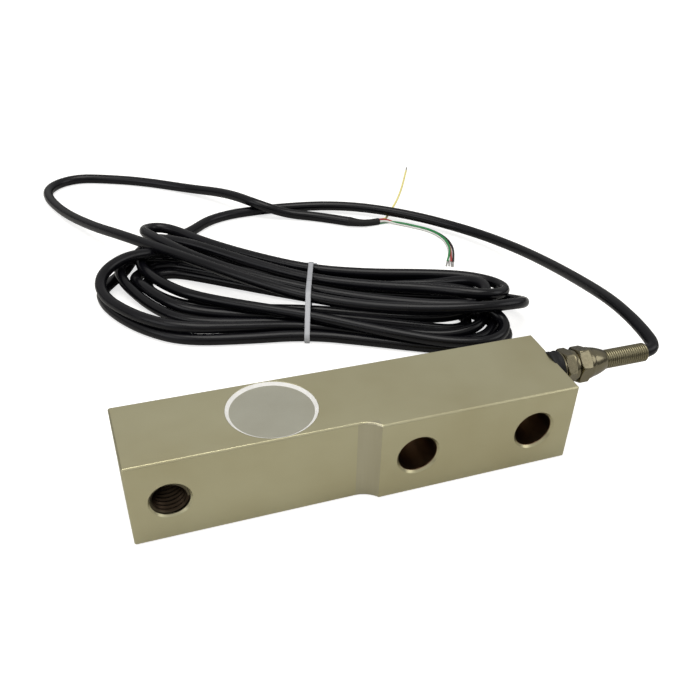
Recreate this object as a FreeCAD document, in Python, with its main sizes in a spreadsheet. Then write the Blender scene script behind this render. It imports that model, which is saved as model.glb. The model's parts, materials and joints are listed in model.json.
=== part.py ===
"""Single-ended shear beam load cell with its cable, as a parametric FreeCAD document.

Frame: the cell lies on one of its gauge sides.  +X runs along the beam to the cable end, +Y from the
mounting face to the back, +Z up.  The origin is the centre of the underside.  Millimetres.
"""
import FreeCAD, Part
import math
import os
import Sketcher
from FreeCAD import Placement, Rotation, Vector

doc = FreeCAD.newDocument("ShearBeamLoadCell")
sheet = doc.addObject("Spreadsheet::Sheet", "Sizes")

SIZES = [
    # beam
    ("beam_length", 150.0), ("beam_depth", 34.2), ("beam_thickness", 30.8), ("edge_chamfer", 0.5),
    ("step_height", 3.4), ("step_radius", 9.1), ("step_to_bore", 13.3),
    # mounting bores, measured from the cable end, and load thread, measured from the free end
    ("bore_diameter", 13.5), ("bore_chamfer", 0.9), ("bore_spacing", 43.1), ("bore_to_end", 15.0),
    ("thread_diameter", 12.0), ("thread_chamfer", 0.75), ("thread_x", 12.4),
    # gauge pockets, one on each side of the web
    ("pocket_x", 48.2), ("pocket_diameter", 29.4), ("web_thickness", 4.0), ("shoulder_width", 1.9),
    ("sealant_width", 1.2), ("cover_thickness", 1.2), ("cover_sink", 0.85), ("sealant_sink", 0.12),
    # inside the pockets
    ("gauge_side", 9.0), ("gauge_thickness", 0.15), ("board_length", 10.0), ("board_to_coating", 0.44),
    ("board_thickness", 0.8), ("board_to_wall", 1.6), ("resistor_length", 3.0), ("resistor_width", 2.4),
    ("resistor_thickness", 0.35), ("resistor_to_wall", 2.6), ("resistor_spread", 3.2),
    ("web_hole_diameter", 2.5), ("web_hole_to_wall", 1.1), ("web_hole_angle", 55.0), ("jumper_diameter", 0.5),
    ("coating_margin", 0.4), ("coating_height", 1.2),
    # cable
    ("cable_diameter", 4.8), ("core_diameter", 1.0), ("core_spread", 0.85), ("passage_clearance", 0.3),
    ("cable_in_pocket", 1.0), ("inner_core_diameter", 1.0),
    # gland
    ("gland_z", 25.3), ("spotface_depth", 1.0), ("seal_diameter", 13.0), ("seal_clearance", 0.15),
    ("seal_length", 4.1), ("spigot_diameter", 8.0), ("spigot_length", 7.0),
    ("flange_diameter", 12.4), ("flange_length", 0.7), ("undercut_length", 0.3), ("undercut_depth", 0.5),
    ("body_hex_flats", 12.0), ("body_hex_length", 3.8), ("hex_chamfer", 0.45), ("neck_diameter", 9.0),
    ("neck_length", 7.2), ("neck_bore_clearance", 0.2), ("collar_diameter", 11.5), ("collar_length", 2.0),
    ("bush_diameter", 7.4), ("bush_length", 6.0), ("nut_hex_flats", 12.0), ("nut_hex_length", 4.5),
    ("nut_hex_turn", 131.0), ("body_hex_turn", 138.0), ("nut_neck_length", 1.5), ("nut_neck_diameter", 11.6),
    ("nut_cone_length", 6.2), ("nut_tip_diameter", 8.0), ("nut_wall_gap", 0.1), ("nut_lip", 1.0),
    # anti-kink spring
    ("spring_diameter", 7.3), ("spring_wire", 0.9), ("spring_pitch", 0.92), ("spring_turns", 22.0),
    ("spring_in_nut", 2.4), ("spring_seat_clearance", 0.1),
    # hank and tie
    ("hank_height", 11.0), ("hank_edge", 2.6), ("tie_width", 2.4), ("tie_thickness", 1.0), ("tie_span", 56.0),
    ("tie_rise", 0.4), ("tie_corner", 3.0), ("tie_head_length", 5.0), ("tie_head_depth", 3.6),
    ("tie_head_height", 4.4), ("tie_head_rise", 0.6),
    # bared end
    ("sleeve_wall", 0.16), ("core_gap", 0.22), ("core_spacing", 0.3), ("tip_diameter", 0.7),
    ("tip_length", 5.0),
]


class Size:
    """A number together with the expression that gives it from the sheet."""

    def __init__(self, value, text):
        self.value = value
        self.text = text

    def __add__(self, other):
        other = as_size(other)
        return Size(self.value + other.value, "(%s + %s)" % (self.text, other.text))

    def __sub__(self, other):
        other = as_size(other)
        return Size(self.value - other.value, "(%s - %s)" % (self.text, other.text))

    def __mul__(self, other):
        other = as_size(other)
        return Size(self.value * other.value, "(%s * %s)" % (self.text, other.text))

    def __truediv__(self, other):
        other = as_size(other)
        return Size(self.value / other.value, "(%s / %s)" % (self.text, other.text))

    def __neg__(self):
        return Size(-self.value, "(0 - %s)" % self.text)

    __radd__ = __add__


def as_size(number):
    """Wrap a plain number, which stays the same whatever the sheet holds."""
    return number if isinstance(number, Size) else Size(float(number), "(%.9g)" % number)


def fill_sheet():
    """Write every size with its alias, and return them by name."""
    named = {}
    for row, (name, value) in enumerate(SIZES, start=1):
        sheet.set("A%d" % row, name)
        sheet.set("B%d" % row, "%g" % value)
        sheet.setAlias("B%d" % row, name)
        named[name] = Size(value, "Sizes.%s" % name)
    doc.recompute()
    return named


S = fill_sheet()
ZERO = as_size(0.0)

# Places that several pieces share.
FREE_END = -(S["beam_length"] / 2)
CABLE_END = S["beam_length"] / 2
FRONT = -(S["beam_depth"] / 2)
BACK = S["beam_depth"] / 2
STEP_FACE = FRONT + S["step_height"]
THREAD_X = FREE_END + S["thread_x"]
FAR_BORE_X = CABLE_END - S["bore_to_end"]
BORE_X = [FAR_BORE_X - S["bore_spacing"], FAR_BORE_X]
STEP_X = BORE_X[0] - S["step_to_bore"]
MID_Z = S["beam_thickness"] / 2
POCKET_X = FREE_END + S["pocket_x"]
POCKET_Y = (STEP_FACE + BACK) / 2
SHOULDER_DEPTH = S["cover_sink"] + S["cover_thickness"]
CELL_DIAMETER = S["pocket_diameter"] - S["shoulder_width"] * 2
COVER_DIAMETER = S["pocket_diameter"] - S["sealant_width"] * 2
WEB_HOLE_REACH = CELL_DIAMETER / 2 - S["web_hole_to_wall"] - S["web_hole_diameter"] / 2
WEB_HOLE = [POCKET_X + WEB_HOLE_REACH * math.cos(math.radians(S["web_hole_angle"].value)),
            POCKET_Y + WEB_HOLE_REACH * math.sin(math.radians(S["web_hole_angle"].value))]
COATING_DIAMETER = S["gauge_side"] * math.sqrt(2) + S["coating_margin"] * 2
BOARD_END = CELL_DIAMETER / 2 - S["board_to_wall"]
BOARD_WIDTH = BOARD_END - S["board_to_coating"] - COATING_DIAMETER / 2
BOARD_X = POCKET_X + BOARD_END - BOARD_WIDTH / 2
WEB_TOP = MID_Z + S["web_thickness"] / 2
WEB_BOTTOM = MID_Z - S["web_thickness"] / 2
PASSAGE_DIAMETER = S["cable_diameter"] + S["passage_clearance"] * 2
# along the gland's axis
SEAL_START = CABLE_END - S["spotface_depth"]
SEAL_END = SEAL_START + S["seal_length"]
FLANGE_END = SEAL_END + S["flange_length"]
UNDERCUT_END = FLANGE_END + S["undercut_length"]
BODY_HEX_END = UNDERCUT_END + S["body_hex_length"]
COLLAR_END = BODY_HEX_END + S["collar_length"]
NECK_END = BODY_HEX_END + S["neck_length"]
NUT_HEX_END = COLLAR_END + S["nut_hex_length"]
NUT_NECK_END = NUT_HEX_END + S["nut_neck_length"]
NUT_END = NUT_NECK_END + S["nut_cone_length"]
SPRING_START = NUT_END - S["spring_in_nut"]
SPRING_END = SPRING_START + S["spring_pitch"] * S["spring_turns"] + S["spring_wire"]
CABLE_STOP = POCKET_X + CELL_DIAMETER / 2 - S["cable_in_pocket"]


# ---------------------------------------------------------------- helpers for bodies and sketches
def new_body(label):
    """Start a sub-part made with PartDesign."""
    body = doc.addObject("PartDesign::Body", label)
    body.Label = label
    return body


def origin_plane(body, role):
    """The body's own XY_Plane, XZ_Plane or YZ_Plane."""
    return next(item for item in body.Origin.OriginFeatures if item.Role == role)


def new_sketch(body, name, role, lift=None):
    """A sketch on an origin plane, lifted along the plane's normal."""
    sketch = body.newObject("Sketcher::SketchObject", name)
    sketch.AttachmentSupport = [(origin_plane(body, role), "")]
    sketch.MapMode = "FlatFace"
    if lift is not None:
        sketch.setExpression("AttachmentOffset.Base.z", lift.text)
    return sketch


def bind(sketch, kind, refs, size):
    """Add one dimension to a sketch and tie it to the sheet."""
    number = sketch.addConstraint(Sketcher.Constraint(kind, *refs, size.value))
    sketch.setExpression("Constraints[%d]" % number, size.text)


def pin_point(sketch, geometry, end, x, y):
    """Hold a vertex at a place given from the sketch's origin."""
    bind(sketch, "DistanceX", (-1, 1, geometry, end), x)
    bind(sketch, "DistanceY", (-1, 1, geometry, end), y)


def polygon(sketch, points):
    """A closed outline of straight lines through points given as (x, y) sizes."""
    spots = [Vector(x.value, y.value, 0) for x, y in points]
    count = len(spots)
    first = sketch.GeometryCount
    for index in range(count):
        sketch.addGeometry(Part.LineSegment(spots[index], spots[(index + 1) % count]), False)
    for index in range(count):
        following = first + (index + 1) % count
        sketch.addConstraint(Sketcher.Constraint("Coincident", first + index, 2, following, 1))
    for index, (x, y) in enumerate(points):
        pin_point(sketch, first + index, 1, x, y)


def circle(sketch, x, y, diameter):
    """A circle held by its centre and diameter."""
    shape = Part.Circle(Vector(x.value, y.value, 0), Vector(0, 0, 1), diameter.value / 2)
    number = sketch.addGeometry(shape, False)
    pin_point(sketch, number, 3, x, y)
    bind(sketch, "Diameter", (number,), diameter)


def pad(body, sketch, length, name="Pad"):
    """Grow a sketch along its plane's normal."""
    feature = body.newObject("PartDesign::Pad", name)
    feature.Profile = sketch
    feature.setExpression("Length", length.text)
    doc.recompute()
    return feature


def pocket(body, sketch, length, name, reverse=False):
    """Cut a sketch into the body, and make sure that it did cut."""
    before = body.Shape.Volume
    feature = body.newObject("PartDesign::Pocket", name)
    feature.Profile = sketch
    feature.Reversed = reverse
    feature.setExpression("Length", length.text)
    doc.recompute()
    if not body.Shape.Volume < before:
        raise RuntimeError("%s cuts nothing" % name)
    return feature


def turn(body, sketch, name, axis="H_Axis", cut=False):
    """Revolve a profile about a sketch axis, as material or as a groove."""
    kind = "PartDesign::Groove" if cut else "PartDesign::Revolution"
    feature = body.newObject(kind, name)
    feature.Profile = sketch
    feature.ReferenceAxis = (sketch, [axis])
    feature.Angle = 360.0
    doc.recompute()
    return feature


def edge_names(feature, wanted):
    """Names of the feature's edges that pass a test."""
    return ["Edge%d" % (index + 1) for index, edge in enumerate(feature.Shape.Edges) if wanted(edge)]


def chamfer(body, base, wanted, size, name):
    """Break the edges of a feature that pass a test."""
    feature = body.newObject("PartDesign::Chamfer", name)
    feature.Base = (base, edge_names(base, wanted))
    feature.setExpression("Size", size.text)
    doc.recompute()
    return feature


def is_near(first, second):
    """Whether two lengths are the same within a hundredth of a millimetre."""
    return abs(first - second) < 0.01


def is_ring(edge, diameter):
    """Whether an edge is a full circle of this diameter."""
    return hasattr(edge.Curve, "Radius") and is_near(edge.Curve.Radius * 2, diameter.value)


def put_on_gland_axis(body):
    """Move a body from the X axis to the gland's axis."""
    body.setExpression("Placement.Base.y", POCKET_Y.text)
    body.setExpression("Placement.Base.z", S["gland_z"].text)


def turned_part(label, profile):
    """A part turned about the gland's axis; the profile is (x, radius) pairs."""
    body = new_body(label)
    put_on_gland_axis(body)
    sketch = new_sketch(body, label + "_profile", "XZ_Plane")
    polygon(sketch, profile)
    turn(body, sketch, label + "_turned")
    return body


# ---------------------------------------------------------------- helpers for plain solids
def simple(kind, label, sizes, place, rotation=None):
    """A Part primitive with its sizes and its place tied to the sheet."""
    piece = doc.addObject(kind, label)
    piece.Label = label
    if rotation is not None:
        piece.Placement = Placement(Vector(0, 0, 0), rotation)
    for name, size in sizes.items():
        piece.setExpression(name, size.text)
    for axis, size in zip("xyz", place):
        piece.setExpression("Placement.Base." + axis, as_size(size).text)
    return piece


def combine(kind, label, pieces):
    """A boolean of two or more pieces: Part::Cut, Part::MultiFuse or Part::MultiCommon."""
    result = doc.addObject(kind, label)
    result.Label = label
    if kind == "Part::Cut":
        result.Base, result.Tool = pieces
    else:
        result.Shapes = pieces
    return result


def fixed_shape(label, shape):
    """A sub-part whose shape is made by Part's own functions."""
    piece = doc.addObject("Part::Feature", label)
    piece.Label = label
    piece.Shape = shape
    return piece


def corner_arc(before, corner, after):
    """The tangent arc at a corner of a route, as its two ends, its crown and its radius."""
    back = before - corner
    ahead = after - corner
    half_turn = (math.pi - back.getAngle(ahead)) / 2
    reach = 0.45 * min(back.Length, ahead.Length)
    radius = reach / math.tan(half_turn)
    back.normalize()
    ahead.normalize()
    middle = back + ahead
    middle.normalize()
    crown = corner + middle * (radius / math.cos(half_turn) - radius)
    return corner + back * reach, crown, corner + ahead * reach, radius


def smooth_path(points):
    """Straight runs joined by tangent arcs; returns the edges and the arcs' radii."""
    edges = []
    radii = []
    start = points[0]
    for before, corner, after in zip(points, points[1:], points[2:]):
        arc_start, crown, arc_end, radius = corner_arc(before, corner, after)
        edges.append(Part.LineSegment(start, arc_start).toShape())
        edges.append(Part.Arc(arc_start, crown, arc_end).toShape())
        start = arc_end
        radii.append(radius)
    edges.append(Part.LineSegment(start, points[-1]).toShape())
    return edges, radii


def section_face(centre, heading, diameter, sides):
    """A regular polygon inside the cord's round section."""
    rim = Part.makeCircle(diameter / 2, centre, heading)
    corners = [rim.valueAt(2 * math.pi * number / sides) for number in range(sides)]
    return Part.Face(Part.makePolygon(corners + corners[:1]))


def tube_shape(name, points, diameter, sides):
    """A cord grown run by run along a route, checked against its section times its length."""
    edges, radii = smooth_path(points)
    first = edges[0]
    start = first.FirstParameter
    section = section_face(first.valueAt(start), first.tangentAt(start), diameter, sides)
    length = sum(edge.Length for edge in edges)
    expected = section.Area * length
    pieces = []
    for edge in edges:
        heading = edge.tangentAt(edge.FirstParameter)
        if hasattr(edge.Curve, "Radius"):
            turned = math.degrees(edge.Length / edge.Curve.Radius)
            pieces.append(section.revolve(edge.Curve.Center, edge.Curve.Axis, turned))
            section = section.copy()
            section.rotate(edge.Curve.Center, edge.Curve.Axis, turned)
        else:
            pieces.append(section.extrude(heading * edge.Length))
            section = section.translated(heading * edge.Length)
    solid = pieces[0].multiFuse(pieces[1:]).Solids[0]
    if abs(solid.Volume / expected - 1) > 0.01:
        raise RuntimeError("%s has the wrong volume: %.1f, not %.1f" % (name, solid.Volume, expected))
    print("%s: %.0f mm long, radii %s, tightest %.1f diameters"
          % (name, length, [round(radius, 1) for radius in radii], min(radii) / diameter))
    return solid


def bent_wire(points, diameter):
    """A short wire of straight runs that meet in mitres."""
    spots = [Vector(*point) for point in points]
    section = section_face(spots[0], spots[1] - spots[0], diameter, 8)
    return Part.makePolygon(spots).makePipeShell([section.OuterWire], True, False, 1)


# ---------------------------------------------------------------- beam
def make_beam_body():
    """The milled block with its step, bores, gauge pockets and cable passage."""
    body = new_body("beam_body")
    outline = new_sketch(body, "beam_outline", "XY_Plane")
    # the step's concave radius leaves the recessed face tangentially and meets the mounting face
    rise = S["step_height"]
    radius = S["step_radius"]
    run = math.sqrt(rise.value * (2 * radius.value - rise.value))
    arc_x = Size(STEP_X.value - run,
                 "(%s - sqrt(%s * (2 * %s - %s)))" % (STEP_X.text, rise.text, radius.text, rise.text))
    corners = [(FREE_END, STEP_FACE), (arc_x, STEP_FACE), (STEP_X, FRONT), (CABLE_END, FRONT),
               (CABLE_END, BACK), (FREE_END, BACK)]
    spots = [Vector(x.value, y.value, 0) for x, y in corners]
    centre = Vector(arc_x.value, STEP_FACE.value - radius.value, 0)
    angle = math.asin(run / radius.value)
    circle_of_arc = Part.Circle(centre, Vector(0, 0, 1), radius.value)
    arc = Part.ArcOfCircle(circle_of_arc, math.pi / 2 - angle, math.pi / 2)
    shapes = [Part.LineSegment(spots[0], spots[1]), arc, Part.LineSegment(spots[2], spots[3]),
              Part.LineSegment(spots[3], spots[4]), Part.LineSegment(spots[4], spots[5]),
              Part.LineSegment(spots[5], spots[0])]
    for shape in shapes:
        outline.addGeometry(shape, False)
    # an arc runs anticlockwise, so its end meets the recessed face and its start the mounting face
    joints = [(0, 2, 1, 2), (1, 1, 2, 1), (2, 2, 3, 1), (3, 2, 4, 1), (4, 2, 5, 1), (5, 2, 0, 1)]
    for joint in joints:
        outline.addConstraint(Sketcher.Constraint("Coincident", *joint))
    for number, corner in zip((0, 2, 3, 4, 5), (0, 2, 3, 4, 5)):
        pin_point(outline, number, 1, *corners[corner])
    pin_point(outline, 0, 2, *corners[1])
    bind(outline, "Radius", (1,), radius)
    block = pad(body, outline, S["beam_thickness"], "block")

    def is_outer_edge(edge):
        heights = [vertex.Z for vertex in edge.Vertexes]
        flat = is_near(heights[0], heights[-1])
        at_end = all(is_near(abs(vertex.X), CABLE_END.value) for vertex in edge.Vertexes)
        return flat or at_end

    chamfer(body, block, is_outer_edge, S["edge_chamfer"], "edge_breaks")
    for number, place in enumerate(BORE_X):
        sketch = new_sketch(body, "bore_%d" % number, "XZ_Plane", FRONT)
        circle(sketch, place, MID_Z, S["bore_diameter"])
        pocket(body, sketch, S["beam_depth"], "mounting_bore_%d" % number, reverse=True)
    sketch = new_sketch(body, "load_thread", "XZ_Plane", FRONT)
    circle(sketch, THREAD_X, MID_Z, S["thread_diameter"])
    drilled = pocket(body, sketch, S["beam_depth"], "load_thread_hole", reverse=True)
    countersunk = chamfer(body, drilled, lambda edge: is_ring(edge, S["bore_diameter"]),
                          S["bore_chamfer"], "bore_countersinks")
    chamfer(body, countersunk, lambda edge: is_ring(edge, S["thread_diameter"]),
            S["thread_chamfer"], "thread_countersinks")
    cell_depth = MID_Z - S["web_thickness"] / 2
    for side, level, up in (("upper", S["beam_thickness"], True), ("lower", ZERO, False)):
        for part, diameter, depth in (("seat", S["pocket_diameter"], SHOULDER_DEPTH),
                                      ("cell", CELL_DIAMETER, cell_depth)):
            sketch = new_sketch(body, "%s_%s_circle" % (side, part), "XY_Plane", level)
            circle(sketch, POCKET_X, POCKET_Y, diameter)
            pocket(body, sketch, depth, "%s_%s" % (side, part), reverse=not up)
    sketch = new_sketch(body, "web_hole_circle", "XY_Plane", WEB_TOP)
    circle(sketch, WEB_HOLE[0], WEB_HOLE[1], S["web_hole_diameter"])
    pocket(body, sketch, S["web_thickness"], "web_hole")
    spot_diameter = S["seal_diameter"] + S["seal_clearance"] * 2
    thread_depth = S["spotface_depth"] + S["spigot_length"]
    for part, diameter, depth in (("passage", PASSAGE_DIAMETER, CABLE_END - POCKET_X),
                                  ("gland_thread", S["spigot_diameter"], thread_depth),
                                  ("gland_spotface", spot_diameter, S["spotface_depth"])):
        sketch = new_sketch(body, part + "_circle", "YZ_Plane", CABLE_END)
        circle(sketch, POCKET_Y, S["gland_z"], diameter)
        pocket(body, sketch, depth, part)
    return body


# ---------------------------------------------------------------- covers and what lies under them
def make_covers():
    """A cover disc and a fillet of sealant on each side of the web."""
    parts = []
    sink = S["cover_sink"]
    for side in ("upper", "lower"):
        upper = side == "upper"
        disc_z = S["beam_thickness"] - SHOULDER_DEPTH if upper else sink
        parts.append(simple("Part::Cylinder", side + "_cover_disc",
                            {"Radius": COVER_DIAMETER / 2, "Height": S["cover_thickness"]},
                            (POCKET_X, POCKET_Y, disc_z)))
        body = new_body(side + "_sealant_ring")
        body.setExpression("Placement.Base.x", POCKET_X.text)
        body.setExpression("Placement.Base.y", POCKET_Y.text)
        inner = COVER_DIAMETER / 2
        outer = S["pocket_diameter"] / 2
        corners = [(inner, SHOULDER_DEPTH), (outer, SHOULDER_DEPTH), (outer, S["sealant_sink"]), (inner, sink)]
        if upper:
            corners = [(across, S["beam_thickness"] - depth) for across, depth in corners]
        sketch = new_sketch(body, side + "_sealant_profile", "XZ_Plane")
        polygon(sketch, corners)
        turn(body, sketch, side + "_sealant", axis="V_Axis")
        parts.append(body)
    return parts


def make_gauges():
    """One shear gauge at 45 degrees on each face of the web."""
    parts = []
    side = S["gauge_side"]
    reach = side * math.sqrt(0.5)
    for name, level in (("upper", WEB_TOP), ("lower", WEB_BOTTOM - S["gauge_thickness"])):
        parts.append(simple("Part::Box", name + "_strain_gauge",
                            {"Length": side, "Width": side, "Height": S["gauge_thickness"]},
                            (POCKET_X, POCKET_Y - reach, level), Rotation(Vector(0, 0, 1), 45)))
    return parts


def make_board_and_resistors():
    """The solder board by the cable and two compensation resistors across the pocket."""
    board = simple("Part::Box", "terminal_board",
                   {"Length": BOARD_WIDTH, "Width": S["board_length"], "Height": S["board_thickness"]},
                   (BOARD_X - BOARD_WIDTH / 2, POCKET_Y - S["board_length"] / 2, WEB_TOP))
    chips = []
    for number, side in enumerate((-1, 1)):
        chips.append(simple("Part::Box", "trim_resistor_%d" % number,
                            {"Length": S["resistor_width"], "Width": S["resistor_length"],
                             "Height": S["resistor_thickness"]},
                            (POCKET_X - CELL_DIAMETER / 2 + S["resistor_to_wall"],
                             POCKET_Y + S["resistor_spread"] * side - S["resistor_length"] / 2, WEB_TOP)))
    return [board, combine("Part::MultiFuse", "trim_resistors", chips)]


def make_jumpers():
    """The wire pair from the board through the web to the lower gauge."""
    wire = S["jumper_diameter"].value
    board_x = BOARD_X.value
    board_top = WEB_TOP.value + S["board_thickness"].value
    hole = (WEB_HOLE[0].value, WEB_HOLE[1].value)
    gauge_face = WEB_BOTTOM.value - S["gauge_thickness"].value
    pad_y = POCKET_Y.value + S["board_length"].value / 2 - wire
    strands = []
    for side in (-1, 1):
        shift = 0.8 * wire * side
        strands.append(bent_wire([
            (board_x + shift, pad_y, board_top), (board_x + shift, pad_y, board_top + 2.0),
            (hole[0] + shift, hole[1], board_top + 2.0), (hole[0] + shift, hole[1], gauge_face - 2.0),
            (POCKET_X.value + shift, POCKET_Y.value + 5.0, gauge_face - 2.0),
            (POCKET_X.value + shift, POCKET_Y.value + 5.0, gauge_face)], wire))
    return [fixed_shape("jumper_wires", Part.Compound(strands))]


def make_inner_cores():
    """Four cores that fan out from the cable's end to the pads of the board."""
    parts = []
    start_x = CABLE_STOP.value
    spread = S["core_spread"].value
    board_x = BOARD_X.value
    board_top = WEB_TOP.value + S["board_thickness"].value
    pitch = S["board_length"].value / 4
    rows = [("inner_core_red", -1, 1, -1.5), ("inner_core_black", -1, -1, -0.5),
            ("inner_core_green", 1, -1, 0.5), ("inner_core_white", 1, 1, 1.5)]
    for label, side, level, pad in rows:
        y = POCKET_Y.value + side * spread
        z = S["gland_z"].value + level * spread
        x = board_x + (-0.9 if level > 0 else 0.6)
        pad_y = POCKET_Y.value + pad * pitch
        parts.append(fixed_shape(label, bent_wire([
            (start_x, y, z), (start_x - 0.8 - 0.9 * (level > 0), y, z), (x, pad_y, board_top + 2.0),
            (x, pad_y, board_top)], S["inner_core_diameter"].value)))
    return parts


def make_coating(side, buried):
    """The soft coat over a gauge, cast round what lies in it."""
    low = WEB_TOP if side == "upper" else WEB_BOTTOM - S["coating_height"]
    coat = simple("Part::Cylinder", side + "_coat",
                  {"Radius": COATING_DIAMETER / 2, "Height": S["coating_height"]}, (POCKET_X, POCKET_Y, low))
    if len(buried) == 1:
        return combine("Part::Cut", side + "_gauge_coating", (coat, buried[0]))
    tools = combine("Part::MultiFuse", side + "_buried", buried)
    return combine("Part::Cut", side + "_gauge_coating", (coat, tools))


# ---------------------------------------------------------------- gland
def hexagon(sketch, flats, turned):
    """A hexagon about the sketch's origin with its first corner turned by an angle."""
    corners = []
    for step in range(6):
        angle = math.radians(turned.value + 60 * step)
        words = "(%s + %d) * 1 deg" % (turned.text, 60 * step)
        reach = flats.value / math.sqrt(3)
        x = Size(reach * math.cos(angle), "(%s / sqrt(3) * cos(%s))" % (flats.text, words))
        y = Size(reach * math.sin(angle), "(%s / sqrt(3) * sin(%s))" % (flats.text, words))
        corners.append((x, y))
    polygon(sketch, corners)


def hex_with_chamfer(body, name, flats, turned, start, end):
    """A hexagon prism along X whose corners are turned down at its far end."""
    sketch = new_sketch(body, name + "_outline", "YZ_Plane", start)
    hexagon(sketch, flats, turned)
    pad(body, sketch, end - start, name)
    corner = flats / math.sqrt(3)
    slope = S["hex_chamfer"] * math.sqrt(3)
    beyond = corner + S["hex_chamfer"]
    inside = end - S["hex_chamfer"]
    sketch = new_sketch(body, name + "_corner", "XZ_Plane")
    polygon(sketch, [(end, corner - slope * 0.8), (inside, corner), (inside, beyond), (end, beyond)])
    turn(body, sketch, name + "_chamfer", cut=True)


def make_gland_seal():
    """The moulded seal between the beam and the gland's flange."""
    outer = S["seal_diameter"] / 2
    inner = S["spigot_diameter"] / 2
    return turned_part("gland_seal", [(SEAL_START, inner), (SEAL_END, inner), (SEAL_END, outer),
                                      (SEAL_START, outer)])


def make_gland_body():
    """Spigot, flange, hex and threaded neck, with a seat for the bush in the neck."""
    bore = PASSAGE_DIAMETER / 2
    spigot = S["spigot_diameter"] / 2
    flange = S["flange_diameter"] / 2
    neck = S["neck_diameter"] / 2
    seat = S["bush_diameter"] / 2
    hex_inside = S["body_hex_flats"] / 2 - S["undercut_depth"]
    bush_start = NECK_END - S["bush_length"]
    body = turned_part("gland_body", [
        (CABLE_END - S["spotface_depth"] - S["spigot_length"], bore), (bush_start, bore), (bush_start, seat),
        (NECK_END, seat), (NECK_END, neck), (UNDERCUT_END, neck), (UNDERCUT_END, hex_inside),
        (FLANGE_END, hex_inside), (FLANGE_END, flange), (SEAL_END, flange), (SEAL_END, spigot),
        (CABLE_END - S["spotface_depth"] - S["spigot_length"], spigot)])
    prism = new_body("gland_hex")
    put_on_gland_axis(prism)
    hex_with_chamfer(prism, "body_hex", S["body_hex_flats"], S["body_hex_turn"], UNDERCUT_END, BODY_HEX_END)
    sketch = new_sketch(prism, "body_hex_bore", "YZ_Plane", BODY_HEX_END)
    circle(sketch, ZERO, ZERO, S["neck_diameter"])
    pocket(prism, sketch, S["body_hex_length"], "body_hex_hole")
    body.Label = "gland_turning"
    whole = combine("Part::MultiFuse", "gland_body_whole", [body, prism])
    whole.Label = "gland_body"
    return whole


def make_gland_collar():
    """The lock ring between the two hexes."""
    inner = S["neck_diameter"] / 2 + S["nut_wall_gap"]
    outer = S["collar_diameter"] / 2
    return turned_part("gland_collar", [(BODY_HEX_END, inner), (COLLAR_END, inner), (COLLAR_END, outer),
                                        (BODY_HEX_END, outer)])


def make_gland_bush():
    """The rubber bush that the nut squeezes onto the cable."""
    inner = S["cable_diameter"] / 2
    outer = S["bush_diameter"] / 2
    return turned_part("gland_bush", [(NECK_END - S["bush_length"], inner), (NECK_END, inner),
                                      (NECK_END, outer), (NECK_END - S["bush_length"], outer)])


def make_gland_cap_nut():
    """Hex, short neck and cone, hollow for the gland's neck and for the first turns of the spring."""
    gap = S["nut_wall_gap"]
    thread = S["neck_diameter"] / 2 + gap
    throat = PASSAGE_DIAMETER / 2
    seat = S["spring_diameter"] / 2 + S["spring_seat_clearance"]
    neck = S["nut_neck_diameter"] / 2
    tip = S["nut_tip_diameter"] / 2
    inside_end = NECK_END + gap
    profile = [(COLLAR_END, thread), (inside_end, thread), (inside_end, throat),
               (SPRING_START, throat), (SPRING_START, seat), (NUT_END, seat), (NUT_END, tip),
               (NUT_NECK_END, neck), (COLLAR_END, neck)]
    body = turned_part("gland_cap_nut", profile)
    prism = new_body("nut_prism")
    put_on_gland_axis(prism)
    hex_with_chamfer(prism, "nut_hex", S["nut_hex_flats"], S["nut_hex_turn"], COLLAR_END, NUT_HEX_END)
    sketch = new_sketch(prism, "nut_hex_bore", "YZ_Plane", NUT_HEX_END)
    circle(sketch, ZERO, ZERO, S["neck_diameter"] + gap * 4)
    pocket(prism, sketch, S["nut_hex_length"], "nut_hex_hole")
    body.Label = "nut_turning"
    whole = combine("Part::MultiFuse", "cap_nut_whole", [body, prism])
    whole.Label = "gland_cap_nut"
    return whole


def make_bend_spring():
    """The close-wound spring, as the sleeve that its touching turns fill."""
    outer = S["spring_diameter"] / 2
    bore = outer - S["spring_wire"]
    return turned_part("bend_spring", [(SPRING_START, bore), (SPRING_END, bore), (SPRING_END, outer),
                                       (SPRING_START, outer)])


def make_cable_inner():
    """The cable from the pocket to the mouth of the spring."""
    return simple("Part::Cylinder", "cable_inner",
                  {"Radius": S["cable_diameter"] / 2, "Height": SPRING_END - CABLE_STOP},
                  (CABLE_STOP, POCKET_Y, S["gland_z"]), Rotation(Vector(0, 1, 0), 90))


# ---------------------------------------------------------------- cable outside the gland
# Plan places are measured from the mouth of the spring.
MOUTH = Vector(SPRING_END.value, POCKET_Y.value, S["gland_z"].value)

# (x, y, height as a share of the mouth's height)
LEAD_RAISED = [
    (4.4, 0.0, 1), (7.5, 3.1, 1.01), (8.6, 9.8, 1.02), (9.3, 20.8, 1.05), (9.1, 36.3, 1.02),
    (10.9, 58.3, 0.838), (13.4, 88.3, 0.565), (12.1, 118.8, 0.324)]
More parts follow.
